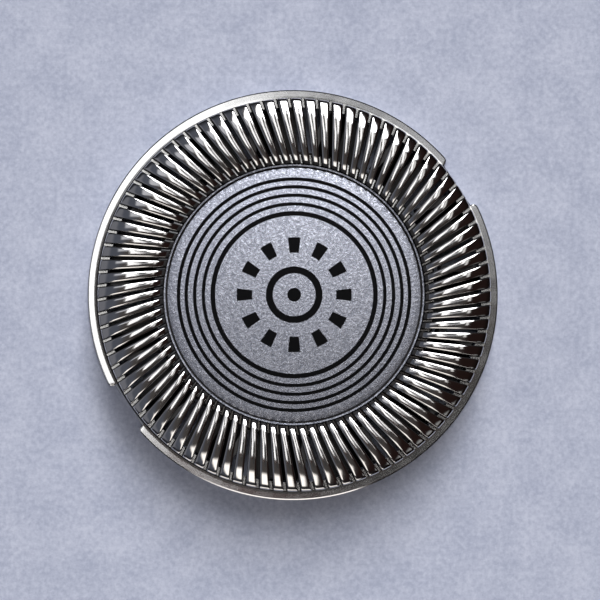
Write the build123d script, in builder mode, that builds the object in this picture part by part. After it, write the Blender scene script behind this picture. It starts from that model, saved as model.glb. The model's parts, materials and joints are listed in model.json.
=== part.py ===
import os
from math import asin, cos, radians, sin, tan

from build123d import *

os.makedirs("parts", exist_ok=True)

# Rotary shaver head: a slotted steel guard with a spinning cutter inside it.
# The origin is on the axis, in the plane of the flange's underside. +Z points up through the
# shaving track, +X lies across the flange's whole edge. All sizes are in millimetres.

# Guard, one cup drawn from stainless sheet and ground on its track
flange_d = 24.0
flange_w = 0.55
flange_t = 0.35
flange_bevel = 0.1
guard_h = 4.4
track_w = 3.78
track_t = 0.35
wall_t = 0.5
recess_depth = 1.6
floor_t = 0.4
floor_hole_d = 3.2

# Shoulders of the track, a quarter ellipse at each side of a flat crown
shoulder_w = 1.2
shoulder_h = 0.7
shoulder_flats = 3
foot_overrun = 0.02

# Slots, straight and set off the axis, so that they cross the blades at a shearing angle
slot_count = 88
slot_w = 0.19
slot_offset = 1.93
slot_start = 3.06
outer_slot_depth = 1.8
inner_slot_depth = 1.15

# Notches that key the flange against turning
notch_count = 2
notch_start = 33.8
notch_span = 13.9
notch_land = 0.12
notch_corner_r = 0.3

# Centre cover, a disc coined with a narrow lip at its edge
cover_gap = 0.07
cover_t = 0.5
lip_w = 0.14
lip_t = 0.3
cover_bevel = 0.12

# Bearing bush, moulded, held in the floor's hole
bush_gap = 0.02
bush_d = 5.2
bush_flange_t = 0.65
bush_cap_t = 0.35

# Carrier, the moulded hub that the drive spindle turns, hung from the bush
carrier_gap = 0.25
carrier_h = 1.2
plate_inset = 0.37
plate_t = 0.6
skirt_w = 0.6
skirt_h = 0.4
hub_d = 5.4
rib_count = 6
rib_w = 0.8
pin_d = 1.5
pin_gap = 0.05
pin_end_gap = 0.1
socket_l = 3.0
socket_w = 1.6
socket_depth = 0.9

# Stakes of the carrier, short bars that go through the two sheets and are headed over them
stake_count = 3
stake_inset = 0.65
stake_l = 1.2
stake_w = 0.6
stake_gap = 0.03
stake_head_rim = 0.2
stake_head_h = 0.25

# Blade ring, one stamping with its blades bent up from their arms
blade_count = 15
blade_t = 0.3
blade_rake = 28.0
blade_tip_gap = 0.05
blade_side_gap = 0.16
blade_corner = 0.2
sheet_t = 0.3
sheet_land_w = 0.95
arm_w = 1.5

# Lifter star, one thin spring sheet with a lifter close ahead of each blade
lifter_t = 0.1
lifter_gap = 0.08
lifter_drop = 0.35
lifter_foot_w = 0.7
star_overhang = 0.2

# Places that follow from the sizes above
flange_r = flange_d / 2
wall_r = flange_r - flange_w
recess_r = wall_r - track_w
cavity_outer_r = wall_r - wall_t
cavity_inner_r = recess_r + wall_t
track_mid_r = (wall_r + recess_r) / 2
track_under_z = guard_h - track_t
floor_top_z = guard_h - recess_depth
floor_under_z = floor_top_z - floor_t
slot_pitch = 360 / slot_count
cover_r = recess_r - cover_gap
cover_top_z = floor_top_z + cover_t
bush_under_z = floor_under_z - bush_flange_t
bore_top_z = floor_top_z - bush_cap_t
plate_r = cavity_inner_r - plate_inset
stake_r = plate_r - stake_inset
sheet_hole_r = stake_r - sheet_land_w
star_r = plate_r + star_overhang
sheet_z = bush_under_z - carrier_gap
hub_under_z = sheet_z - carrier_h
star_z = sheet_z + sheet_t
head_z = star_z + lifter_t
tip_z = track_under_z - blade_tip_gap
blade_inner_r = cavity_inner_r + blade_side_gap
blade_outer_r = cavity_outer_r - blade_side_gap
rake_slope = tan(radians(blade_rake))
blade_root_w = blade_t / cos(radians(blade_rake))
lifter_root_w = lifter_t / cos(radians(blade_rake))
lifter_root_y = blade_root_w + sheet_t * rake_slope + lifter_gap / cos(radians(blade_rake))


def rim_distance(edge):
    """How far an edge's middle lies from the axis."""
    return Vector(edge.center().X, edge.center().Y).length


def shoulder_cutter(edge_r, side):
    """The space outside one bar's shoulder: side is 1 at the outer wall and -1 at the inner one."""
    turn = -asin(slot_offset / edge_r)
    crown_x = edge_r - side * shoulder_w
    far_x = edge_r + side * shoulder_w
    above_z = guard_h + shoulder_h
    steps = [radians(90 * step / shoulder_flats) for step in range(shoulder_flats + 1)]
    curve = [
        (crown_x + side * shoulder_w * cos(step), guard_h - shoulder_h * (1 - sin(step)))
        for step in steps
    ]
    steep = shoulder_h * sin(steps[1]) / (shoulder_w * (1 - cos(steps[1])))
    foot = (edge_r + side * foot_overrun, guard_h - shoulder_h - foot_overrun * steep)
    with BuildPart() as cutter:
        # The curve stands square to the radius at the bar's end
        upright = Plane((0, 0, 0), x_dir=(cos(turn), sin(turn), 0), z_dir=(sin(turn), -cos(turn), 0))
        with BuildSketch(upright):
            Polygon(
                foot,
                *curve[1:],
                (crown_x, above_z),
                (far_x, above_z),
                (far_x, foot[1]),
                align=None,
            )
        extrude(amount=edge_r * radians(slot_pitch), both=True)
        # The ends follow the middle of the slots on both sides of the bar
        apex_y = -slot_offset / cos(radians(slot_pitch / 2))
        reach = flange_r + shoulder_w
        half_y = reach * tan(radians(slot_pitch / 2))
        with BuildSketch():
            Polygon((0, apex_y), (reach, apex_y - half_y), (reach, apex_y + half_y), align=None)
        extrude(amount=above_z, mode=Mode.INTERSECT)
    return cutter.part


outer_shoulder = shoulder_cutter(wall_r, 1)
inner_shoulder = shoulder_cutter(recess_r, -1)

with BuildPart() as guard:
    with BuildSketch(Plane.XZ):
        with BuildLine():
            Polyline(
                (flange_r, 0),
                (flange_r, flange_t - flange_bevel),
                (flange_r - flange_bevel, flange_t),
                (wall_r, flange_t),
                (wall_r, guard_h),
                (recess_r, guard_h),
                (recess_r, floor_top_z),
                (floor_hole_d / 2, floor_top_z),
                (floor_hole_d / 2, floor_under_z),
                (cavity_inner_r, floor_under_z),
                (cavity_inner_r, track_under_z),
                (cavity_outer_r, track_under_z),
                (cavity_outer_r, 0),
                close=True,
            )
        make_face()
    revolve(axis=Axis.Z)
    # Each slot is cut in two lengths that meet over the cavity, deeper through the outer wall
    for depth, near_x, far_x in (
        (outer_slot_depth, track_mid_r, flange_r),
        (inner_slot_depth, recess_r - wall_t, track_mid_r),
    ):
        with BuildSketch(Plane.XY.offset(guard_h - depth)):
            with PolarLocations(0, slot_count, start_angle=slot_start):
                with Locations(((near_x + far_x) / 2, -slot_offset)):
                    Rectangle(far_x - near_x, slot_w)
        extrude(amount=depth, mode=Mode.SUBTRACT)
    with PolarLocations(0, slot_count, start_angle=slot_start + slot_pitch / 2):
        add(outer_shoulder, mode=Mode.SUBTRACT)
        add(inner_shoulder, mode=Mode.SUBTRACT)
    # The notches stop at the bend at the wall's foot, and have rounded mouths
    with BuildSketch():
        with PolarLocations(0, notch_count, start_angle=notch_start):
            slant = tan(radians(notch_span / 2))
            bottom_x = wall_r + notch_land
            mouth_x = flange_r + notch_corner_r
            Polygon(
                (bottom_x, -bottom_x * slant),
                (mouth_x, -mouth_x * slant),
                (mouth_x, mouth_x * slant),
                (bottom_x, bottom_x * slant),
                align=None,
            )
    extrude(amount=flange_t, mode=Mode.SUBTRACT)
    upright_edges = guard.edges().filter_by(Axis.Z)
    mouth_corners = upright_edges.filter_by(lambda edge: rim_distance(edge) > (wall_r + flange_r) / 2)
    fillet(mouth_corners, notch_corner_r)

guard.part.label = "guard"
export_step(guard.part, "parts/guard.step")

with BuildPart() as centre_cover:
    with BuildSketch(Plane.XZ):
        with BuildLine():
            Polyline(
                (0, floor_top_z),
                (cover_r, floor_top_z),
                (cover_r, floor_top_z + lip_t),
                (cover_r - lip_w, floor_top_z + lip_t),
                (cover_r - lip_w, cover_top_z - cover_bevel),
                (cover_r - lip_w - cover_bevel, cover_top_z),
                (0, cover_top_z),
                close=True,
            )
        make_face()
    revolve(axis=Axis.Z)

centre_cover.part.label = "centre_cover"
export_step(centre_cover.part, "parts/centre_cover.step")

with BuildPart() as bearing_bush:
    with BuildSketch(Plane.XY.offset(bush_under_z)):
        Circle(bush_d / 2)
    extrude(amount=bush_flange_t)
    with BuildSketch(Plane.XY.offset(floor_under_z)):
        Circle(floor_hole_d / 2 - bush_gap)
    extrude(amount=floor_t)
    with BuildSketch(Plane.XY.offset(bush_under_z)):
        Circle(pin_d / 2 + pin_gap)
    extrude(amount=bore_top_z - bush_under_z, mode=Mode.SUBTRACT)

bearing_bush.part.label = "bearing_bush"
export_step(bearing_bush.part, "parts/bearing_bush.step")

with BuildPart() as carrier:
    with BuildSketch(Plane.XY.offset(sheet_z - plate_t)):
        Circle(plate_r)
    extrude(amount=plate_t)
    with BuildSketch(Plane.XY.offset(hub_under_z)):
        Circle(hub_d / 2)
    extrude(amount=carrier_h)
    # A skirt and ribs stiffen the plate from below
    with BuildSketch(Plane.XY.offset(sheet_z - plate_t - skirt_h)):
        Circle(plate_r)
        Circle(plate_r - skirt_w, mode=Mode.SUBTRACT)
        with PolarLocations(0, rib_count):
            Rectangle(plate_r - skirt_w / 2, rib_w, align=(Align.MIN, Align.CENTER))
    extrude(amount=skirt_h)
    # The pin runs in the bush
    with BuildSketch(Plane.XY.offset(sheet_z)):
        Circle(pin_d / 2)
    extrude(amount=bore_top_z - pin_end_gap - sheet_z)
    with BuildSketch(Plane.XY.offset(hub_under_z)):
        SlotOverall(socket_l, socket_w)
    extrude(amount=socket_depth, mode=Mode.SUBTRACT)
    with BuildSketch(Plane.XY.offset(sheet_z)):
        with PolarLocations(stake_r, stake_count):
            Rectangle(stake_w, stake_l)
    extrude(amount=head_z - sheet_z)
    with BuildSketch(Plane.XY.offset(head_z)):
        with PolarLocations(stake_r, stake_count):
            Rectangle(stake_w + 2 * stake_head_rim, stake_l + 2 * stake_head_rim)
    extrude(amount=stake_head_h)

carrier.part.label = "carrier"
export_step(carrier.part, "parts/carrier.step")

# One blade, leaning the way the cutter turns, with its corners eased to clear the track's walls
with BuildPart() as blade:
    with BuildSketch(Plane.YZ.offset(blade_inner_r)):
        blade_lean = (tip_z - sheet_z) * rake_slope
        Polygon(
            (0, sheet_z),
            (blade_root_w, sheet_z),
            (blade_root_w + blade_lean, tip_z),
            (blade_lean, tip_z),
            align=None,
        )
    extrude(amount=blade_outer_r - blade_inner_r)
    top_ends = blade.faces().sort_by(Axis.Z)[-1].edges().filter_by(Axis.Y)
    chamfer(top_ends, blade_corner)

with BuildPart() as blade_ring:
    with BuildSketch(Plane.XY.offset(sheet_z)):
        Circle(blade_inner_r)
        with PolarLocations(0, blade_count):
            with Locations((0, blade_root_w)):
                Rectangle(blade_outer_r, arm_w, align=(Align.MIN, Align.MAX))
        Circle(sheet_hole_r, mode=Mode.SUBTRACT)
        with PolarLocations(stake_r, stake_count):
            Rectangle(stake_w + 2 * stake_gap, stake_l + 2 * stake_gap, mode=Mode.SUBTRACT)
    extrude(amount=sheet_t)
    with PolarLocations(0, blade_count):
        add(blade.part)

blade_ring.part.label = "blade_ring"
export_step(blade_ring.part, "parts/blade_ring.step")

# One lifter, parallel to its blade and lower
with BuildPart() as lifter:
    with BuildSketch(Plane.YZ.offset(blade_inner_r)):
        lifter_z = tip_z - lifter_drop
        lifter_lean = (lifter_z - star_z) * rake_slope
        Polygon(
            (lifter_root_y, star_z),
            (lifter_root_y + lifter_root_w, star_z),
            (lifter_root_y + lifter_root_w + lifter_lean, lifter_z),
            (lifter_root_y + lifter_lean, lifter_z),
            align=None,
        )
    extrude(amount=blade_outer_r - blade_inner_r)

with BuildPart() as lifter_star:
    with BuildSketch(Plane.XY.offset(star_z)):
        Circle(star_r)
        with PolarLocations(0, blade_count):
            with Locations((0, lifter_root_y)):
                Rectangle(blade_outer_r, lifter_foot_w, align=(Align.MIN, Align.MIN))
        Circle(sheet_hole_r, mode=Mode.SUBTRACT)
        with PolarLocations(stake_r, stake_count):
            Rectangle(stake_w + 2 * stake_gap, stake_l + 2 * stake_gap, mode=Mode.SUBTRACT)
    extrude(amount=lifter_t)
    with PolarLocations(0, blade_count):
        add(lifter.part)

lifter_star.part.label = "lifter_star"
export_step(lifter_star.part, "parts/lifter_star.step")
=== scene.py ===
import json
import math

import bpy
import numpy as np
from mathutils import Matrix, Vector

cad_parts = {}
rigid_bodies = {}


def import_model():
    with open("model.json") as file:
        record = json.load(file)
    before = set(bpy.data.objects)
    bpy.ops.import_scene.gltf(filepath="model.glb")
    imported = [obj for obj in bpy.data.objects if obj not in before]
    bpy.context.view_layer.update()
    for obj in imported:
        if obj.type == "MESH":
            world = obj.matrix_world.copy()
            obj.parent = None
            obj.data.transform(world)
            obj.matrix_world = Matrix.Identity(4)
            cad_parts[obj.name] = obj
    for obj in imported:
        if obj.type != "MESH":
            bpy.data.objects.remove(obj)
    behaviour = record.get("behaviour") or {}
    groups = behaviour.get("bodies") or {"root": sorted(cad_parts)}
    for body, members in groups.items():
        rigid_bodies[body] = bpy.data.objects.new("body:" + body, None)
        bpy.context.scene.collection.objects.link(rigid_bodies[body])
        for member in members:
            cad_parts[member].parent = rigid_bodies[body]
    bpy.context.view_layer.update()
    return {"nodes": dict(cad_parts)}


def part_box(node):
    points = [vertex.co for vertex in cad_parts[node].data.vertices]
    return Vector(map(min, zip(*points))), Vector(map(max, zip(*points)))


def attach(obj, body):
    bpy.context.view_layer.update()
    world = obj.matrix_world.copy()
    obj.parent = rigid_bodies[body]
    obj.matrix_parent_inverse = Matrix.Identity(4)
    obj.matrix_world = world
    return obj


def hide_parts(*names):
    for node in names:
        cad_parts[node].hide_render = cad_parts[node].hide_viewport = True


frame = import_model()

# Rotary shaver head seen from straight above, lying on its flange on a pale sheet.
# Sizes in the dictionaries are in millimetres and are turned to metres where the mesh is made.
mm = 0.001
guardHigh = np.array(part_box("guard")[1]) / mm
coverLow, coverHigh = [np.array(corner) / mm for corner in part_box("centre_cover")]
print("frame loaded:", sorted(frame["nodes"]))


# sRGB hex to linear RGBA: c / 12.92 below 0.04045, else ((c + 0.055) / 1.055) ** 2.4.
def toLinear(hexText):
    parts = [int(hexText[i:i + 2], 16) / 255 for i in (1, 3, 5)]
    return [c / 12.92 if c <= 0.04045 else ((c + 0.055) / 1.055) ** 2.4 for c in parts] + [1.0]


# One node: settings are its properties or socket values, links join its sockets to others' outputs.
# A Mix node's sockets are 0, the share, 6 and 7, the colours at none and all of it, and output 2.
def addNode(tree, kind, settings=None, links=None):
    node = tree.nodes.new(kind)
    for key, value in (settings or {}).items():
        if isinstance(key, str) and hasattr(node, key):
            setattr(node, key, value)
        else:
            node.inputs[key].default_value = value
    for key, source in (links or {}).items():
        tree.links.new(source, node.inputs[key])
    return node


# Quads of a grid of rows x columns points, numbered row by row: point (r, c) has the number
# r * columns + c, and a quad joins it to its next neighbours along the row and the column.
def gridFaces(rows, columns, closeRows=False, closeColumns=False):
    r = np.arange(rows if closeRows else rows - 1)[:, None]
    c = np.arange(columns if closeColumns else columns - 1)[None, :]
    rNext, cNext = (r + 1) % rows, (c + 1) % columns
    quads = [r * columns + c, rNext * columns + c, rNext * columns + cNext, r * columns + cNext]
    return np.stack([np.broadcast_to(q, (r.size, c.size)) for q in quads], axis=-1).reshape(-1, 4)


# A mesh object from points in mm and lists of faces; edges sharper than sharpAngle degrees stay sharp.
def makePiece(name, points, faces, materials, slots=None, sharpAngle=35):
    mesh = bpy.data.meshes.new(name)
    mesh.from_pydata((points * mm).tolist(), [], [list(face) for face in faces])
    for material in materials:
        mesh.materials.append(material)
    if slots is not None:
        mesh.polygons.foreach_set("material_index", np.asarray(slots, dtype=np.int32))
    mesh.polygons.foreach_set("use_smooth", np.ones(len(mesh.polygons), dtype=bool))
    mesh.set_sharp_from_angle(angle=math.radians(sharpAngle))
    mesh.validate()
    mesh.update()
    piece = bpy.data.objects.new(name, mesh)
    bpy.context.scene.collection.objects.link(piece)
    return piece


# A profile of radii r and heights z turned about the axis: (r cos a, r sin a, z).
def turned(r, z, angles):
    a = angles[:, None]
    return np.stack([r * np.cos(a), r * np.sin(a), np.broadcast_to(z, np.broadcast(r, a).shape)], axis=-1)


# Materials

# An empty material and its node tree.
def newMaterial(name):
    material = bpy.data.materials.new(name)
    material.use_nodes = True
    material.node_tree.nodes.clear()
    return material, material.node_tree


# Stainless sheet, ground and polished: mirror-like, with fine hairlines that blur what it shows.
# The real hairlines are about 0.01 mm wide, and they are drawn at 0.05 mm so that they show.
# Patches of about 0.9 mm are a little more or less polished.
def polishedStainless(name="polishedStainless", roughness=0.07, tint="#d6d4d3"):
    steel, tree = newMaterial(name)
    place = addNode(tree, "ShaderNodeTexCoord")
    hairline = addNode(tree, "ShaderNodeTexNoise",
                       {"Scale": 1 / (0.05 * mm), "Detail": 3.0, "Roughness": 0.6},
                       {"Vector": place.outputs["Object"]})
    patches = addNode(tree, "ShaderNodeTexNoise", {"Scale": 1 / (0.9 * mm), "Detail": 2.0},
                      {"Vector": place.outputs["Object"]})
    rough = addNode(tree, "ShaderNodeMapRange",
                    {"From Min": 0.3, "From Max": 0.7, "To Min": roughness * 0.8, "To Max": roughness * 1.3},
                    {"Value": patches.outputs["Fac"]})
    bump = addNode(tree, "ShaderNodeBump", {"Strength": 0.12, "Distance": 0.002 * mm},
                   {"Height": hairline.outputs["Fac"]})
    shader = addNode(tree, "ShaderNodeBsdfPrincipled", {"Base Color": toLinear(tint), "Metallic": 1.0},
                     {"Roughness": rough.outputs["Result"], "Normal": bump.outputs["Normal"]})
    addNode(tree, "ShaderNodeOutputMaterial", links={"Surface": shader.outputs["BSDF"]})
    return steel


# Stainless as the slot cutter leaves it, pale, with painted shade that darkens each slot's floor towards its
# sides.
# The cutter's marks are drawn 0.04 mm apart, coarser than real ones, so that they show.
# The slots' middles are where (atan2(y, x) + asin(offset / r) - start) / pitch is a whole number.
def cutSteelAndShade(g):
    steel, tree = newMaterial("cutSteelAndShade")
    place = addNode(tree, "ShaderNodeTexCoord")
    axes = addNode(tree, "ShaderNodeSeparateXYZ", links={"Vector": place.outputs["Object"]})
    flat = addNode(tree, "ShaderNodeCombineXYZ", links={"X": axes.outputs["X"], "Y": axes.outputs["Y"]})
    radius = addNode(tree, "ShaderNodeVectorMath", {"operation": "LENGTH"}, {0: flat.outputs["Vector"]})
    azimuth = addNode(tree, "ShaderNodeMath", {"operation": "ARCTAN2"},
                      {0: axes.outputs["Y"], 1: axes.outputs["X"]})
    share = addNode(tree, "ShaderNodeMath", {"operation": "DIVIDE", 0: g["slotOffset"] * mm},
                    {1: radius.outputs["Value"]})
    lean = addNode(tree, "ShaderNodeMath", {"operation": "ARCSINE"}, {0: share.outputs["Value"]})
    unleaned = addNode(tree, "ShaderNodeMath", {"operation": "ADD"},
                       {0: azimuth.outputs["Value"], 1: lean.outputs["Value"]})
    fromFirst = addNode(tree, "ShaderNodeMath", {"operation": "SUBTRACT", 1: math.radians(g["slotStart"])},
                        {0: unleaned.outputs["Value"]})
    pitches = addNode(tree, "ShaderNodeMath", {"operation": "MULTIPLY", 1: g["slotCount"] / (2 * math.pi)},
                      {0: fromFirst.outputs["Value"]})
    offMiddle = addNode(tree, "ShaderNodeMath", {"operation": "PINGPONG", 1: 0.5},
                        {0: pitches.outputs["Value"]})
    # painted shade: the floor goes dark from 0.068 to 0.1 of a pitch off the slot's middle
    sideShade = addNode(tree, "ShaderNodeMapRange", {"From Min": 0.068, "From Max": 0.1},
                    {"Value": offMiddle.outputs["Value"]})
    tint = addNode(tree, "ShaderNodeMix",
                   {"data_type": "RGBA", 6: toLinear("#d2d1cf"), 7: toLinear("#1c1b1d")},
                   {0: sideShade.outputs["Result"]})
    grain = addNode(tree, "ShaderNodeTexNoise", {"Scale": 1 / (0.04 * mm), "Detail": 2.0},
                    {"Vector": place.outputs["Object"]})
    bump = addNode(tree, "ShaderNodeBump", {"Strength": 0.3, "Distance": 0.004 * mm},
                   {"Height": grain.outputs["Fac"]})
    shader = addNode(tree, "ShaderNodeBsdfPrincipled", {"Metallic": 1.0, "Roughness": 0.15},
                     {"Base Color": tint.outputs[2], "Normal": bump.outputs["Normal"]})
    addNode(tree, "ShaderNodeOutputMaterial", links={"Surface": shader.outputs["BSDF"]})
    return steel


# Stainless disc, bead blasted: a soft sheen with a speckle of tiny facets, light and dark.
# The beads' dents are about 0.05 mm wide, and they are drawn at 0.15 mm so that they show.
def satinStainless():
    steel, tree = newMaterial("satinStainless")
    place = addNode(tree, "ShaderNodeTexCoord")
    speckle = addNode(tree, "ShaderNodeTexNoise", {"Scale": 1 / (0.15 * mm), "Detail": 3.0, "Roughness": 0.7},
                      {"Vector": place.outputs["Object"]})
    facet = addNode(tree, "ShaderNodeMapRange", {"From Min": 0.34, "From Max": 0.66},
                    {"Value": speckle.outputs["Fac"]})
    tint = addNode(tree, "ShaderNodeMix",
                   {"data_type": "RGBA", 6: toLinear("#9599a7"), 7: toLinear("#e6e9f6")},
                   {0: facet.outputs["Result"]})
    rough = addNode(tree, "ShaderNodeMapRange", {"To Min": 0.29, "To Max": 0.23},
                    {"Value": facet.outputs["Result"]})
    bump = addNode(tree, "ShaderNodeBump", {"Strength": 1.0, "Distance": 0.012 * mm},
                   {"Height": speckle.outputs["Fac"]})
    shader = addNode(tree, "ShaderNodeBsdfPrincipled", {"Metallic": 1.0},
                     {"Base Color": tint.outputs[2], "Roughness": rough.outputs["Result"],
                      "Normal": bump.outputs["Normal"]})
    addNode(tree, "ShaderNodeOutputMaterial", links={"Surface": shader.outputs["BSDF"]})
    return steel


# Black pad-printing ink, fired on: dark, with a faint gloss that varies over about 0.12 mm, a
# little finer than the blasted steel under it.
def printedInk():
    ink, tree = newMaterial("printedInk")
    place = addNode(tree, "ShaderNodeTexCoord")
    grain = addNode(tree, "ShaderNodeTexNoise", {"Scale": 1 / (0.12 * mm), "Detail": 2.0},
                    {"Vector": place.outputs["Object"]})
    rough = addNode(tree, "ShaderNodeMapRange", {"To Min": 0.4, "To Max": 0.6},
                    {"Value": grain.outputs["Fac"]})
    shader = addNode(tree, "ShaderNodeBsdfPrincipled",
                     {"Base Color": toLinear("#030305"), "Specular IOR Level": 0.08},
                     {"Roughness": rough.outputs["Result"]})
    addNode(tree, "ShaderNodeOutputMaterial", links={"Surface": shader.outputs["BSDF"]})
    return ink


# Painted shade: a dark, matt and crumbly surface laid in the corners, beside the slots and in the
# groove around the cover, where shade falls. Its darkness changes from lump to lump, over about 0.4 mm.
def paintedShadeMaterial():
    shaded, tree = newMaterial("paintedShadeMaterial")
    place = addNode(tree, "ShaderNodeTexCoord")
    crumb = addNode(tree, "ShaderNodeTexNoise", {"Scale": 1 / (0.4 * mm), "Detail": 3.0},
                    {"Vector": place.outputs["Object"]})
    tint = addNode(tree, "ShaderNodeMix",
                   {"data_type": "RGBA", 6: toLinear("#121214"), 7: toLinear("#3a3838")},
                   {0: crumb.outputs["Fac"]})
    shader = addNode(tree, "ShaderNodeBsdfPrincipled", {"Roughness": 0.8, "Specular IOR Level": 0.2},
                     {"Base Color": tint.outputs[2]})
    addNode(tree, "ShaderNodeOutputMaterial", links={"Surface": shader.outputs["BSDF"]})
    return shaded


# Spring steel strip, blued by tempering: dark, with a cold sheen. The blue drifts over about 1.5 mm.
def bluedSpring():
    steel, tree = newMaterial("bluedSpring")
    place = addNode(tree, "ShaderNodeTexCoord")
    bloom = addNode(tree, "ShaderNodeTexNoise", {"Scale": 1 / (1.5 * mm), "Detail": 3.0},
                    {"Vector": place.outputs["Object"]})
    tint = addNode(tree, "ShaderNodeMix",
                   {"data_type": "RGBA", 6: toLinear("#21242e"), 7: toLinear("#29252c")},
                   {0: bloom.outputs["Fac"]})
    shader = addNode(tree, "ShaderNodeBsdfPrincipled", {"Metallic": 1.0, "Roughness": 0.32},
                     {"Base Color": tint.outputs[2]})
    addNode(tree, "ShaderNodeOutputMaterial", links={"Surface": shader.outputs["BSDF"]})
    return steel


# Blade steel, stamped and ground: fine straight scratches, duller than the guard. They run along X,
# 0.3 mm long and an eighth as wide, coarser than a real grinding wheel's, so that they show.
def groundBlade():
    steel, tree = newMaterial("groundBlade")
    place = addNode(tree, "ShaderNodeTexCoord")
    stretch = addNode(tree, "ShaderNodeMapping", {"Scale": (1.0, 8.0, 8.0)},
                      {"Vector": place.outputs["Object"]})
    scratch = addNode(tree, "ShaderNodeTexNoise", {"Scale": 1 / (0.3 * mm), "Detail": 4.0},
                      {"Vector": stretch.outputs["Vector"]})
    rough = addNode(tree, "ShaderNodeMapRange", {"To Min": 0.34, "To Max": 0.5},
                    {"Value": scratch.outputs["Fac"]})
    bump = addNode(tree, "ShaderNodeBump", {"Strength": 0.3, "Distance": 0.003 * mm},
                   {"Height": scratch.outputs["Fac"]})
    shader = addNode(tree, "ShaderNodeBsdfPrincipled", {"Base Color": toLinear("#474646"), "Metallic": 1.0},
                     {"Roughness": rough.outputs["Result"], "Normal": bump.outputs["Normal"]})
    addNode(tree, "ShaderNodeOutputMaterial", links={"Surface": shader.outputs["BSDF"]})
    return steel


# Acetal, moulded: an even colour with faint clouds of about 2.5 mm, and a soft, waxy gloss on a
# skin that is dimpled every 0.08 mm, as the mould leaves it.
def mouldedAcetal(name, dark, pale):
    plastic, tree = newMaterial(name)
    place = addNode(tree, "ShaderNodeTexCoord")
    cloud = addNode(tree, "ShaderNodeTexNoise", {"Scale": 1 / (2.5 * mm), "Detail": 2.0},
                    {"Vector": place.outputs["Object"]})
    skin = addNode(tree, "ShaderNodeTexNoise", {"Scale": 1 / (0.08 * mm), "Detail": 2.0},
                   {"Vector": place.outputs["Object"]})
    tint = addNode(tree, "ShaderNodeMix", {"data_type": "RGBA", 6: toLinear(dark), 7: toLinear(pale)},
                   {0: cloud.outputs["Fac"]})
    bump = addNode(tree, "ShaderNodeBump", {"Strength": 0.15, "Distance": 0.004 * mm},
                   {"Height": skin.outputs["Fac"]})
    shader = addNode(tree, "ShaderNodeBsdfPrincipled", {"Roughness": 0.42, "IOR": 1.48},
                     {"Base Color": tint.outputs[2], "Normal": bump.outputs["Normal"]})
    addNode(tree, "ShaderNodeOutputMaterial", links={"Surface": shader.outputs["BSDF"]})
    return plastic


# Coated card, pale and slightly blue, that the head lies on: matt, with faint clouds of about 2.2 mm.
# The coating's real grain is about 0.1 mm, and it is drawn at 0.3 mm so that it shows.
def paleSheet():
    sheet, tree = newMaterial("paleSheet")
    place = addNode(tree, "ShaderNodeTexCoord")
    grain = addNode(tree, "ShaderNodeTexNoise", {"Scale": 1 / (0.3 * mm), "Detail": 4.0, "Roughness": 0.7},
                    {"Vector": place.outputs["Object"]})
    cloud = addNode(tree, "ShaderNodeTexNoise", {"Scale": 1 / (2.2 * mm), "Detail": 2.0},
                    {"Vector": place.outputs["Object"]})
    both = addNode(tree, "ShaderNodeMath", {"operation": "MULTIPLY_ADD", 1: 2.2},
                   {0: grain.outputs["Fac"], 2: cloud.outputs["Fac"]})
    level = addNode(tree, "ShaderNodeMapRange", {"From Min": 1.2, "From Max": 2.0},
                    {"Value": both.outputs["Value"]})
    tint = addNode(tree, "ShaderNodeMix",
                   {"data_type": "RGBA", 6: toLinear("#aeb4c8"), 7: toLinear("#cdd1e1")},
                   {0: level.outputs["Result"]})
    bump = addNode(tree, "ShaderNodeBump", {"Strength": 0.2, "Distance": 0.01 * mm},
                   {"Height": grain.outputs["Fac"]})
    shader = addNode(tree, "ShaderNodeBsdfPrincipled", {"Roughness": 0.75},
                     {"Base Color": tint.outputs[2], "Normal": bump.outputs["Normal"]})
    addNode(tree, "ShaderNodeOutputMaterial", links={"Surface": shader.outputs["BSDF"]})
    return sheet


trackSteel = polishedStainless()
rimSteel = polishedStainless("rolledStainless", roughness=0.09, tint="#e2e2e2")      # a little duller
coverSteel = satinStainless()
blackInk = printedInk()
# painted shade: a dark material laid where shade falls on the guard and the cover
paintedShade = paintedShadeMaterial()
print("materials made")


# Guard: the same cup as its node, with smooth shoulders and rounded bar edges

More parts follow.
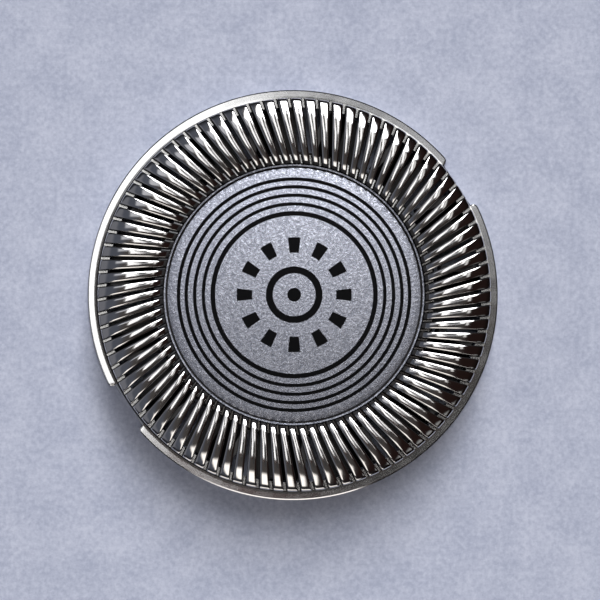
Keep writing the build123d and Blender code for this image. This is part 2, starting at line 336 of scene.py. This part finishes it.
guard = {
    "wallR": 11.45, "wallT": 0.5, "recessR": 7.67, "trackT": 0.35, "height": guardHigh[2],
    # the track's section, a superellipse on each side, and how much of it is used before the wall
    "shoulderH": 0.7, "outerPower": 2.3, "innerPower": 3.5, "outerShare": 0.955, "innerShare": 0.9,
    "slotCount": 88, "slotW": 0.19, "slotOffset": 1.93, "slotStart": 3.06,
    "outerSlotDepth": 1.8, "innerSlotDepth": 1.15, "outerSlotFall": 0.01, "innerSlotFall": 0.06,
    "crownDrop": 0.13, "crownPower": 4.2,      # across a bar, the same kind of arch,
    "outerArch": 0.4, "innerArch": 1.4,        # which changes by these factors towards the bar's ends,
    "archReach": 5,                            # the later the higher this power is
    "footSink": 0.02,
    # dried paste stays inside this radius, and beside the slots, past this share of the crown's half
    # painted shade darkens the bars inside this radius, and beside the slots past this share of the
    # crown's half width as it is at this station along the bar
    "shadeR": 7.83, "shadeShare": 0.8, "shadeStation": 18,
    "flangeR": guardHigh[0], "flangeT": 0.35, "flangeFall": 0.008, "bendR": 0.07,
    "rimEdgeR": 0.03, "chamferW": 0.06, "chamferH": 0.05,
    "faceShares": (0.33, 0.66),                # where points stand on its face, on the way to the wall
    "edgeShare": 0.6, "leastEdge": 0.008,      # most of the flange's width, and least size, of an edge
    "notchMiddle": 33.8, "notchSpan": 13.9, "notchLand": 0.12, "notchCornerR": 0.3, "notchFan": 0.96,
    "floorT": 0.4, "floorTop": 2.8, "floorHoleR": 1.6, "cupBendOuter": 0.3, "cupBendInner": 0.1,
    # numbers of points, along a bar's arch and walls, across its crown, and so on
    "archPoints": 37, "barWallPoints": 3, "crownPoints": 17,
    "notchPoints": 9, "notchSidePoints": 4, "mouthPoints": 8, "rimPoints": 150,
    "edgePoints": 5, "bendPoints": 6, "shadedBendFaces": 4, "cupSteps": 176,
}
# the last material is painted shade, dark where shade falls
finish = {"track": 0, "rim": 1, "slotFloor": 2, "shaded": 3}      # numbers of the guard's materials


# All bars as one array (bar, station, corner, xyz).
# Along a bar the outer line is the wall, then r = rm + w t / s and z = zs + h u with
# t = sgn(cos f) |cos f| ** (2 / p) and u = sin(f) ** (2 / p), cut off at |t| = s where it has grown
# steep, then the inner wall. Its normal is (sgn(t) |t| ** (p - 1) / w, u ** (p - 1) / h).
# Across a bar the corners follow an arch of the same kind between the slots' sides, which stand
# at the angles -asin(offset / r).
def barPoints(g):
    middle = (g["wallR"] + g["recessR"]) / 2
    half = (g["wallR"] - g["recessR"]) / 2
    springZ = g["height"] - g["shoulderH"]
    wallPoints = g["barWallPoints"]
    outerEnd = np.arccos(g["outerShare"] ** (g["outerPower"] / 2))
    innerEnd = np.pi - np.arccos(g["innerShare"] ** (g["innerPower"] / 2))
    f = np.linspace(outerEnd, innerEnd, g["archPoints"])
    isOuter = np.cos(f) > 0
    power = np.where(isOuter, g["outerPower"], g["innerPower"])
    share = np.where(isOuter, g["outerShare"], g["innerShare"])
    t = np.sign(np.cos(f)) * np.abs(np.cos(f)) ** (2 / power)
    u = np.abs(np.sin(f)) ** (2 / power)
    archN = [np.sign(t) * np.abs(t) ** (power - 1) / half, u ** (power - 1) / g["shoulderH"]]
    archN = np.stack(archN, axis=-1)
    archN /= np.linalg.norm(archN, axis=-1, keepdims=True)
    outerFoot = g["height"] - g["outerSlotDepth"] - g["footSink"]
    innerFoot = g["height"] - g["innerSlotDepth"] - g["footSink"]
    archZ = springZ + g["shoulderH"] * u
    outerWall = np.linspace(outerFoot, archZ[0], wallPoints + 1)[:-1]
    innerWall = np.linspace(archZ[-1], innerFoot, wallPoints + 1)[1:]
    outerR, innerR = np.full(wallPoints, g["wallR"]), np.full(wallPoints, g["recessR"])
    r = np.concatenate([outerR, middle + half * t / share, innerR])
    z = np.concatenate([outerWall, archZ, innerWall])
    wallN = np.tile([1.0, 0.0], (wallPoints, 1))
    normal = np.concatenate([wallN, archN, -wallN])
    # The cavity's side of each station, with its square corners under the shoulders
    cavityOuter, cavityInner = g["wallR"] - g["wallT"], g["recessR"] + g["wallT"]
    ceiling = g["height"] - g["trackT"]
    underR = np.clip(r, cavityInner, cavityOuter)
    past = np.maximum(r - cavityOuter, cavityInner - r).clip(0, None) / g["wallT"]
    underZ = np.minimum(ceiling - (ceiling - springZ) * past, ceiling)
    isWall = normal[:, 1] == 0
    underZ = np.where(isWall, z, underZ)

    # The crown across each station, then the two corners under it
    a = np.radians(np.linspace(0, 180, g["crownPoints"]))
    cross = g["crownPower"]
    side = (1 - np.sign(np.cos(a)) * np.abs(np.cos(a)) ** (2 / cross)) / 2      # 0 to 1 across the bar
    endArch = 1 + (np.where(isOuter, g["outerArch"], g["innerArch"]) - 1) * np.abs(t) ** g["archReach"]
    outerArch, innerArch = np.full(wallPoints, g["outerArch"]), np.full(wallPoints, g["innerArch"])
    endArch = np.concatenate([outerArch, endArch, innerArch])
    cornerDrop = (1 - np.abs(np.sin(a)) ** (2 / cross)) * (g["crownDrop"] * endArch)[:, None]
    cornerR = r[:, None] - normal[:, :1] * cornerDrop
    cornerZ = z[:, None] - normal[:, 1:] * cornerDrop
    cornerR = np.concatenate([cornerR, underR[:, None], underR[:, None]], axis=1)
    cornerZ = np.concatenate([cornerZ, underZ[:, None], underZ[:, None]], axis=1)
    pitch = 2 * np.pi / g["slotCount"]
    low = -pitch / 2 - np.arcsin((g["slotOffset"] - g["slotW"] / 2) / cornerR)
    high = pitch / 2 - np.arcsin((g["slotOffset"] + g["slotW"] / 2) / cornerR)
    across = np.concatenate([side, [1.0, 0.0]])
    angle = low + (high - low) * across
    turn = np.radians(g["slotStart"]) + pitch * (np.arange(g["slotCount"]) + 0.5)
    angle = angle[None] + turn[:, None, None]
    cornerZ = np.broadcast_to(cornerZ, angle.shape)
    return np.stack([cornerR * np.cos(angle), cornerR * np.sin(angle), cornerZ], axis=-1)


# Tube quads and two end caps for each bar, all facing outwards. Corner c of station s of bar b is
# the point numbered (b * stations + s) * corners + c.
def barFaces(bars, stations, corners):
    tube = gridFaces(stations, corners, closeColumns=True)
    starts = np.arange(bars)[:, None, None] * stations * corners
    quads = (tube[None] + starts).reshape(-1, 4).tolist()
    firstCap = (np.arange(corners) + starts[:, :, 0]).tolist()
    lastCap = ((stations - 1) * corners + np.arange(corners)[::-1] + starts[:, :, 0]).tolist()
    return quads, firstCap, lastCap


# The flange's edge, anticlockwise: arcs of its radius, with two notches half a turn apart.
# Points (x, y), outward normals, and the angle at which each point's section meets the wall.
# A notch's mouth is an arc of notchCornerR that touches the rim and the notch's side, whose centre
# lies on the circle of radius flangeR - notchCornerR. In the notch's corners the normal is mitred:
# (n1 + n2) / (1 + n1 . n2). The wall angles of a notch's bottom are drawn together by notchFan,
# which leaves room on the wall for those of its radial sides.
def flangeOutline(g):
    corner = g["notchCornerR"]
    halfSpan = np.radians(g["notchSpan"] / 2)
    centreR = g["flangeR"] - corner
    lean = np.arcsin(corner / centreR)           # angle from the notch's side to the mouth's centre
    bottom = g["wallR"] + g["notchLand"]
    points, normals, wallAngles = [], [], []
    for mid in (np.radians(g["notchMiddle"]), np.radians(g["notchMiddle"]) + np.pi):
        # bottom of the notch, a straight line square to its middle, facing out
        baseAngle = np.linspace(-halfSpan, halfSpan, g["notchPoints"])
        base = np.stack([np.full(len(baseAngle), bottom), bottom * np.tan(baseAngle)], axis=-1)
        baseN = np.tile([1.0, 0.0], (len(base), 1))
        # far side, which faces back into the notch
        sideDir = np.array([np.cos(halfSpan), np.sin(halfSpan)])
        sideN = np.array([np.sin(halfSpan), -np.cos(halfSpan)])
        flip = np.array([1.0, -1.0])
        baseN[-1] = (baseN[-1] + sideN) / (1 + sideN[0])
        baseN[0] = baseN[-1] * flip
        touch = centreR * np.cos(lean)
        side = sideDir * np.linspace(bottom / np.cos(halfSpan), touch, g["notchSidePoints"])[1:-1, None]
        sideAngle = halfSpan * np.linspace(g["notchFan"], 1, g["notchSidePoints"])[1:-1]
        sideN = np.tile(sideN, (len(side), 1))
        # far mouth
        centre = centreR * np.array([np.cos(halfSpan + lean), np.sin(halfSpan + lean)])
        b = np.linspace(halfSpan - np.pi / 2, halfSpan + lean, g["mouthPoints"])
        mouthN = np.stack([np.cos(b), np.sin(b)], axis=-1)
        mouth = centre + corner * mouthN
        mouthAngle = np.arctan2(mouth[:, 1], mouth[:, 0])
        # rim up to the next notch's near mouth
        c = np.linspace(halfSpan + lean, np.pi - halfSpan - lean, g["rimPoints"])[1:-1]
        rimN = np.stack([np.cos(c), np.sin(c)], axis=-1)
        rim = g["flangeR"] * rimN
        # near mouth and near side of the next notch, the far ones mirrored and turned by half a turn
        local = [base, side, mouth, rim, -(mouth * flip)[::-1], -(side * flip)[::-1]]
        localN = [baseN, sideN, mouthN, rimN, -(mouthN * flip)[::-1], -(sideN * flip)[::-1]]
        wallAngles += [mid + baseAngle * g["notchFan"], mid + sideAngle, mid + mouthAngle, mid + c,
                       mid + np.pi - mouthAngle[::-1], mid + np.pi - sideAngle[::-1]]
        cosM, sinM = np.cos(mid), np.sin(mid)
        spin = np.array([[cosM, sinM], [-sinM, cosM]])
        points.append(np.concatenate(local) @ spin)
        normals.append(np.concatenate(localN) @ spin)
    return np.concatenate(points), np.concatenate(normals), np.concatenate(wallAngles)


# The flange and the plain outer wall as one closed ring: each point of the outline carries the
# section. The section goes up the rim, with its lower edge rounded and its upper one chamfered, in
# over the flange, up the bend's quarter circle and the wall, over the slots' floor, and down inside.
# An edge of size e takes the outline in by e (1 - cos a) while it rises by e (1 + sin a).
def flangeAndWall(g):
    outline, outward, wallAngle = flangeOutline(g)
    radial = np.stack([np.cos(wallAngle), np.sin(wallAngle)], axis=-1)
    footR = g["wallR"] + g["bendR"]
    room = np.linalg.norm(outline, axis=1) - footR
    edge = np.minimum(g["rimEdgeR"], room * g["edgeShare"]).clip(g["leastEdge"], None)
    chamfer = np.minimum(g["chamferW"], room * g["edgeShare"]).clip(g["leastEdge"], None)
    top = g["flangeT"]
    rows = []
    for a in np.radians(np.linspace(-90, 0, g["edgePoints"])):      # the rim, rounded below
        xy = outline - outward * (edge * (1 - np.cos(a)))[:, None]
        rows.append(np.column_stack([xy, edge * (1 + np.sin(a))]))
    rimTop = top - g["flangeFall"]                        # and chamfered above
    rows.append(np.column_stack([outline, np.full(len(outline), rimTop - g["chamferH"])]))
    rows.append(np.column_stack([outline - outward * chamfer[:, None], np.full(len(outline), rimTop)]))
    faceRow = len(rows) - 1
    for share in g["faceShares"]:                         # the flange's face falls a little to its rim
        xy = rows[faceRow][:, :2] * (1 - share) + radial * footR * share
        rows.append(np.column_stack([xy, np.full(len(xy), top - g["flangeFall"] * (1 - share))]))
    bendRow = len(rows)
    for a in np.radians(np.linspace(0, 90, g["bendPoints"])):       # the bend at the wall's foot
        r = footR - g["bendR"] * np.sin(a)
        rows.append(np.column_stack([radial * r, np.full(len(radial), top + g["bendR"] * (1 - np.cos(a)))]))
    slotFloor = g["height"] - g["outerSlotDepth"]
    inner = g["wallR"] - g["wallT"]
    for r, z in ((g["wallR"], slotFloor - g["outerSlotFall"]), (inner, slotFloor), (inner, 0.0)):
        rows.append(np.column_stack([radial * r, np.full(len(radial), z)]))
    points = np.stack(rows, axis=1)                       # (outline, row, xyz)
    faces = gridFaces(points.shape[0], points.shape[1], closeRows=True, closeColumns=True)
    row = faces[:, 0] % points.shape[1]
    wallRow = bendRow + g["bendPoints"] - 1
    slots = np.full(len(faces), finish["rim"])
    slots[row == wallRow] = finish["track"]
    slots[row == wallRow + 1] = finish["slotFloor"]
    # painted shade: the first faces of the bend at the wall's foot are dark
    slots[(row >= bendRow) & (row < bendRow + g["shadedBendFaces"])] = finish["shaded"]
    return points.reshape(-1, 3), faces, slots


# The inner wall and the sunk floor, a closed ring turned from one profile (r, z): out under the
# floor, up the wall's cavity side, over the slots' floor, down to the recess and back in. A bend of
# size e between two straight runs is a quarter circle, e (1 - sin b) and e (1 - cos b) from them.
def sunkCup(g):
    slotFloor = g["height"] - g["innerSlotDepth"]
    under = g["floorTop"] - g["floorT"]
    outer = g["recessR"] + g["wallT"]
    b = np.radians(np.linspace(0, 90, g["bendPoints"]))
    r = np.concatenate([[g["floorHoleR"]], outer - g["cupBendOuter"] * (1 - np.sin(b)), [outer],
                        [g["recessR"]], g["recessR"] - g["cupBendInner"] * (1 - np.cos(b)),
                        [g["floorHoleR"]]])
    z = np.concatenate([[under], under + g["cupBendOuter"] * (1 - np.cos(b)),
                        [slotFloor - g["innerSlotFall"]], [slotFloor],
                        g["floorTop"] + g["cupBendInner"] * (1 - np.sin(b)), [g["floorTop"]]])
    angles = np.linspace(0, 2 * np.pi, g["cupSteps"] + 1)[:-1]
    points = turned(r[None, :], z[None, :], angles)
    faces = gridFaces(points.shape[0], points.shape[1], closeRows=True, closeColumns=True)
    row = faces[:, 0] % points.shape[1]
    slotRow = len(b) + 1
    slots = np.full(len(faces), finish["track"])
    slots[row == slotRow] = finish["slotFloor"]
    # painted shade: the bend at the foot of the recess is dark
    slots[(row > slotRow + 1) & (row < slotRow + 1 + len(b))] = finish["shaded"]
    return points.reshape(-1, 3), faces, slots


# Shells of (points, faces, material numbers) as one list of each.
def joinShells(shells):
    allPoints, allFaces, allSlots, start = [], [], [], 0
    for points, faces, slots in shells:
        allPoints.append(points)
        allFaces += [[corner + start for corner in face] for face in faces]
        allSlots += list(slots)
        start += len(points)
    return np.concatenate(allPoints), allFaces, allSlots


# The material of each of a bar's tube faces: painted shade, dark, where the face's distance from
# the crown's middle, as a share of the crown's half, is past the set share, where its station lies
# inside the set radius, and on the two sides and the underside, where shade falls.
def barSlots(g, bars):
    top = g["crownPoints"] // 2
    crown = bars[0, :, :g["crownPoints"]]
    stationR = np.hypot(crown[:, top, 0], crown[:, top, 1])
    across = crown[g["shadeStation"]]
    offTop = np.linalg.norm(across - across[top], axis=-1)
    offTop /= offTop[0]
    isEdge = np.append((offTop[:-1] + offTop[1:]) / 2 > g["shadeShare"], [True, True, True])
    isDark = (stationR[:-1, None] < g["shadeR"]) | isEdge
    return np.tile(np.where(isDark, finish["shaded"], finish["track"]).ravel(), len(bars)).tolist()


slotSteelAndShade = cutSteelAndShade(guard)
bars = barPoints(guard)
quads, firstCaps, lastCaps = barFaces(*bars.shape[:3])
capSlots = [finish["track"]] * (len(firstCaps) + len(lastCaps))
barShell = (bars.reshape(-1, 3), quads + firstCaps + lastCaps, barSlots(guard, bars) + capSlots)
wallPoints, wallFaces, wallSlots = flangeAndWall(guard)
cupPoints, cupFaces, cupSlots = sunkCup(guard)
points, faces, slots = joinShells([
    barShell, (wallPoints, wallFaces.tolist(), wallSlots), (cupPoints, cupFaces.tolist(), cupSlots)])
slottedGuard = makePiece("slottedGuard", points, faces, [trackSteel, rimSteel, slotSteelAndShade, paintedShade], slots)
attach(slottedGuard, "guard")
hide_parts("guard")
print("guard made:", len(slottedGuard.data.polygons), "faces")


# Centre cover: a satin disc, slightly domed, with a narrow lip, printed rings and a plain dial

cover = {
    "r": coverHigh[0], "bottom": coverLow[2], "top": coverHigh[2],
    "lipW": 0.1, "lipT": 0.3, "lipEdge": 0.01, "bevel": 0.05, "dome": 0.22,
    "grooveW": 0.08, "grooveDrop": 0.06, "grooveSlant": 0.01,
    "rings": [(6.74, 0.2), (6.29, 0.2), (5.80, 0.2), (5.29, 0.2), (4.74, 0.27)],   # radius and width
    "dialRing": (1.45, 0.4), "dialDotR": 0.4,
    "ticks": 12, "tickIn": 2.45, "tickOut": 3.35, "tickHalfSteps": 5,
    "steps": 288, "bevelPoints": 5, "middleR": 0.12, "plainLoops": [0.8, 2.0, 4.0, 7.0],
}
# the last material is painted shade, dark where shade falls
coverFinish = {"steel": 0, "ink": 1, "shaded": 2}      # numbers of the cover's materials


# A turned disc. The face is z = top - dome (r / R) ** 2, with a loop of points at each edge of print.
# A quarter circle rounds its edge, then come the groove and the flat lip. A face is inked where its
# middle lies within half a ring's width of the ring's radius, in the dot, or in one of the blocks,
# which are tickHalfSteps of the turned steps to each side of every twelfth of a turn.
def coverShell(c):
    faceR = c["r"] - c["lipW"] - c["grooveW"] - c["bevel"]
    loops = [c["middleR"], c["dialDotR"], c["tickIn"], c["tickOut"]] + c["plainLoops"]
    for radius, width in c["rings"] + [c["dialRing"]]:
        loops += [radius - width / 2, radius + width / 2]
    loops = np.array(sorted(loops))
    faceZ = c["top"] - c["dome"] * (loops / faceR) ** 2
    a = np.radians(np.linspace(0, 90, c["bevelPoints"]))
    edgeZ = c["top"] - c["dome"]
    roundR = faceR + c["bevel"] * np.sin(a)
    roundZ = edgeZ - c["bevel"] * (1 - np.cos(a))
    lipZ = c["bottom"] + c["lipT"]
    grooveZ = lipZ - c["grooveDrop"]
    grooveIn, lipIn = faceR + c["bevel"], c["r"] - c["lipW"]
    slant, edge = c["grooveSlant"], c["lipEdge"]
    lipR = [grooveIn + slant, lipIn - slant, lipIn, lipIn + edge, c["r"] - edge, c["r"]]
    lipTopZ = [grooveZ, grooveZ, lipZ - edge, lipZ, lipZ, lipZ - edge]
    r = np.concatenate([loops, roundR, lipR, [c["r"], c["middleR"]]])
    z = np.concatenate([faceZ, roundZ, lipTopZ, [c["bottom"], c["bottom"]]])
    angles = np.linspace(0, 2 * np.pi, c["steps"] + 1)[:-1]
    points = turned(r[::-1][None, :], z[::-1][None, :], angles)
    faces = gridFaces(points.shape[0], points.shape[1], closeRows=True)
    column = faces[:, 0] % points.shape[1]
    row = faces[:, 0] // points.shape[1]
    meanR = (r[::-1][column] + r[::-1][column + 1]) / 2
    onFace = column >= points.shape[1] - len(loops) - 1
    inked = meanR < c["dialDotR"]
    for radius, width in c["rings"] + [c["dialRing"]]:
        inked |= np.abs(meanR - radius) < width / 2
    every = c["steps"] // c["ticks"]
    nearTick = (row + c["tickHalfSteps"]) % every < 2 * c["tickHalfSteps"]
    inked |= nearTick & (meanR > c["tickIn"]) & (meanR < c["tickOut"])
    inGroove = (meanR > faceR + c["bevel"] / 2) & (meanR < lipIn) & (column > 0)
    slots = np.full(len(faces), coverFinish["steel"])
    slots[inked & onFace] = coverFinish["ink"]
    # painted shade: the groove around the cover is dark
    slots[inGroove] = coverFinish["shaded"]
    slots = list(slots) + [coverFinish["ink"], coverFinish["steel"]]
    middleTop = list(range(points.shape[1] - 1, points.size // 3, points.shape[1]))
    middleUnder = list(range(0, points.size // 3, points.shape[1]))[::-1]
    return points.reshape(-1, 3), faces.tolist() + [middleTop, middleUnder], slots


points, faces, slots = coverShell(cover)
printedCover = makePiece("printedCover", points, faces, [coverSteel, blackInk, paintedShade], slots)
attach(printedCover, "guard")
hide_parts("centre_cover")
print("cover made:", len(printedCover.data.polygons), "faces")


# The cutter and the bush keep the shapes of their nodes

# Gives every material slot of a node's objects the one finish.
def dressNode(name, material):
    for piece in bpy.data.objects:
        if piece.type == "MESH" and piece.name.split(".")[0] == name:
            for slot in piece.material_slots:
                slot.link, slot.material = "OBJECT", material


dressNode("blade_ring", groundBlade())
dressNode("lifter_star", bluedSpring())
dressNode("carrier", mouldedAcetal("blackAcetal", "#1d1e21", "#26272b"))
dressNode("bearing_bush", mouldedAcetal("naturalAcetal", "#d8d6cc", "#e3e1d8"))
print("cutter dressed")


# The sheet under the head

floor = {"half": 1500.0}      # mm from the axis to each edge
corners = np.array([[-1, -1], [1, -1], [1, 1], [-1, 1]]) * floor["half"]
points = np.column_stack([corners, np.zeros(4)])
sheet = makePiece("paleSheet", points, [[0, 1, 2, 3]], [paleSheet()])
print("sheet laid")


# Light: a soft studio dome. A direction at the angle a from straight up is drawn at the radius
# tan(a / 2), which is also the slope of the metal that shows it to a camera overhead.

dome = {
    "zenith": "#4c4846",
    # to the right and the left: colour, and the slopes in x where it is full and where there is none
    "sides": [("#241917", 0.16, 0.02), ("#565a64", -0.16, -0.04)],
    # near the horizon: colours at two slopes in x, and the heights z where they are none and full
    "farLeft": ("#2c2e32", -0.3), "farRight": ("#15100f", 0.5), "farHeights": (0.75, 0.3),
    # centre x and y, half sizes and softness in slope, turn in degrees, then strength and colour
    "panels": [
        ("topSoftbox", 0.045, 0.38, 0.105, 0.22, 0.03, 0, 11.3, "#fbfcff"),
        ("backPanel", 0.40, -0.40, 0.09, 0.09, 0.05, 0, 0.3, "#ffffff"),
        ("leftSkirt", -0.10, 0.12, 0.06, 0.07, 0.02, 0, 0.7, "#f6f8ff"),
        ("topSkirt", 0.03, 0.14, 0.05, 0.04, 0.02, 0, 1.6, "#ffffff"),
        ("rightLeg", 0.058, 0.095, 0.02, 0.075, 0.004, 0, 1.8, "#ffffff"),
        ("topGap", 0.020, 0.10, 0.018, 0.18, 0.006, 0, 0.05, "#ffffff"),
        ("frontSoftbox", -0.045, -0.325, 0.09, 0.155, 0.03, 0, 1.7, "#fffaf4"),
        ("zenithGlow", 0.026, 0.022, 0.018, 0.014, 0.006, 0, 0.42, "#f6f6fa"),
        ("frontShade", 0.002, -0.024, 0.014, 0.010, 0.006, 0, 0.05, "#ff9a8c"),
        ("leftStrip", -0.013, 0.0725, 0.017, 0.0885, 0.003, 4, 1.9, "#ffffff"),
        ("rightStrip", 0.105, 0.050, 0.015, 0.075, 0.005, 0, 0.9, "#fffdfb"),
        ("leftFill", -0.62, -0.05, 0.28, 0.42, 0.06, 0, 0.24, "#e6e9f6"),
        ("frontFill", -0.12, -0.83, 0.42, 0.07, 0.04, 0, 1.8, "#f0eae6"),
    ],
}


# The sky's colour, first from left to right, then far down to the horizon, then panel by panel.
# With the direction (x, y, z) the slope drawn is (x, y) / (1 + z). In a panel's own turned axes a
# point is inside where |along| < halfX and |across| < halfY, and the edge fades by smoothstep.
def buildWorld(d):
    world = bpy.data.worlds.new("studioDome")
    bpy.context.scene.world = world
    world.use_nodes = True
    tree = world.node_tree
    tree.nodes.clear()
    sky = addNode(tree, "ShaderNodeTexCoord")
    axes = addNode(tree, "ShaderNodeSeparateXYZ", links={"Vector": sky.outputs["Generated"]})
    # a little more than 1, which keeps straight down from dividing by nought
    below = addNode(tree, "ShaderNodeMath", {"operation": "ADD", 1: 1.0001}, {0: axes.outputs["Z"]})
    inverse = addNode(tree, "ShaderNodeMath", {"operation": "DIVIDE", 0: 1.0}, {1: below.outputs["Value"]})
    slope = addNode(tree, "ShaderNodeVectorMath", {"operation": "SCALE"},
                    {0: sky.outputs["Generated"], "Scale": inverse.outputs["Value"]})
    slopeAxes = addNode(tree, "ShaderNodeSeparateXYZ", links={"Vector": slope.outputs["Vector"]})
    colour = addNode(tree, "ShaderNodeRGB").outputs["Color"]
    colour.default_value = toLinear(d["zenith"])
    for tint, full, none in d["sides"]:
        share = addNode(tree, "ShaderNodeMapRange",
                        {"interpolation_type": "SMOOTHSTEP", "From Min": none, "From Max": full},
                        {"Value": slopeAxes.outputs["X"]})
        colour = addNode(tree, "ShaderNodeMix", {"data_type": "RGBA", 7: toLinear(tint)},
                         {0: share.outputs["Result"], 6: colour}).outputs[2]
    (leftTint, leftX), (rightTint, rightX) = d["farLeft"], d["farRight"]
    farNone, farFull = d["farHeights"]
    farShare = addNode(tree, "ShaderNodeMapRange",
                       {"interpolation_type": "SMOOTHSTEP", "From Min": leftX, "From Max": rightX},
                       {"Value": slopeAxes.outputs["X"]})
    far = addNode(tree, "ShaderNodeMix",
                  {"data_type": "RGBA", 6: toLinear(leftTint), 7: toLinear(rightTint)},
                  {0: farShare.outputs["Result"]})
    low = addNode(tree, "ShaderNodeMapRange",
                  {"interpolation_type": "SMOOTHSTEP", "From Min": farNone, "From Max": farFull},
                  {"Value": axes.outputs["Z"]})
    colour = addNode(tree, "ShaderNodeMix", {"data_type": "RGBA"},
                     {0: low.outputs["Result"], 6: colour, 7: far.outputs[2]}).outputs[2]
    for name, x, y, halfX, halfY, soft, turn, strength, tint in d["panels"]:
        local = addNode(tree, "ShaderNodeMapping",
                        {"vector_type": "TEXTURE", "Location": (x, y, 0.0),
                         "Rotation": (0.0, 0.0, math.radians(turn))},
                        {"Vector": slope.outputs["Vector"]})
        away = addNode(tree, "ShaderNodeVectorMath", {"operation": "ABSOLUTE"}, {0: local.outputs["Vector"]})
        inside = addNode(tree, "ShaderNodeMapRange",
                         {"data_type": "FLOAT_VECTOR", "interpolation_type": "SMOOTHSTEP",
                          7: (halfX + soft, halfY + soft, 1.0), 8: (halfX - soft, halfY - soft, 0.0)},
                         {6: away.outputs["Vector"]})
        both = addNode(tree, "ShaderNodeSeparateXYZ", links={"Vector": inside.outputs["Vector"]})
        share = addNode(tree, "ShaderNodeMath", {"operation": "MULTIPLY"},
                        {0: both.outputs["X"], 1: both.outputs["Y"]})
        bright = [c * strength for c in toLinear(tint)[:3]] + [1.0]
        colour = addNode(tree, "ShaderNodeMix", {"data_type": "RGBA", "label": name, 7: bright},
                         {0: share.outputs["Value"], 6: colour}).outputs[2]
    back = addNode(tree, "ShaderNodeBackground", links={"Color": colour})
    addNode(tree, "ShaderNodeOutputWorld", links={"Surface": back.outputs["Background"]})


buildWorld(dome)
print("dome made")


# Camera: nearly overhead, far off, so that the head shows almost no perspective

camera = {
    "pxPerMm": 17.08, "axisPx": (292.9, 295.0), "imagePx": 600,
    "away": 600.0, "tiltX": -1.5, "tiltY": -0.3,     # mm, and degrees off straight down
    "sensor": 36.0, "clip": (0.01, 10.0),            # mm, and metres
}


# The camera looks at the point of the flange's plane that the picture's middle shows, from away mm
# along (tan tiltX, tan tiltY, 1). Its lens is sensor * away / width, where the width seen is
# imagePx / pxPerMm, and the picture's upright is the world's y.
def placeCamera(c):
    data = bpy.data.cameras.new("overheadCamera")
    eye = bpy.data.objects.new("overheadCamera", data)
    bpy.context.scene.collection.objects.link(eye)
    middle = c["imagePx"] / 2
    axisX, axisY = c["axisPx"]
    target = [(middle - axisX) / c["pxPerMm"], (axisY - middle) / c["pxPerMm"], guard["flangeT"]]
    toEye = np.array([math.tan(math.radians(c["tiltX"])), math.tan(math.radians(c["tiltY"])), 1.0])
    toEye /= np.linalg.norm(toEye)
    right = np.cross([0.0, 1.0, 0.0], toEye)
    right /= np.linalg.norm(right)
    up = np.cross(toEye, right)
    matrix = np.eye(4)
    matrix[:3, 0], matrix[:3, 1], matrix[:3, 2] = right, up, toEye
    matrix[:3, 3] = (target + toEye * c["away"]) * mm
    eye.matrix_world = Matrix(matrix.tolist())
    data.sensor_width = c["sensor"]
    data.lens = c["sensor"] * c["away"] / (c["imagePx"] / c["pxPerMm"])
    data.clip_start, data.clip_end = c["clip"]
    bpy.context.scene.camera = eye


placeCamera(camera)
bpy.context.scene.view_settings.view_transform = "Standard"
print("camera placed")
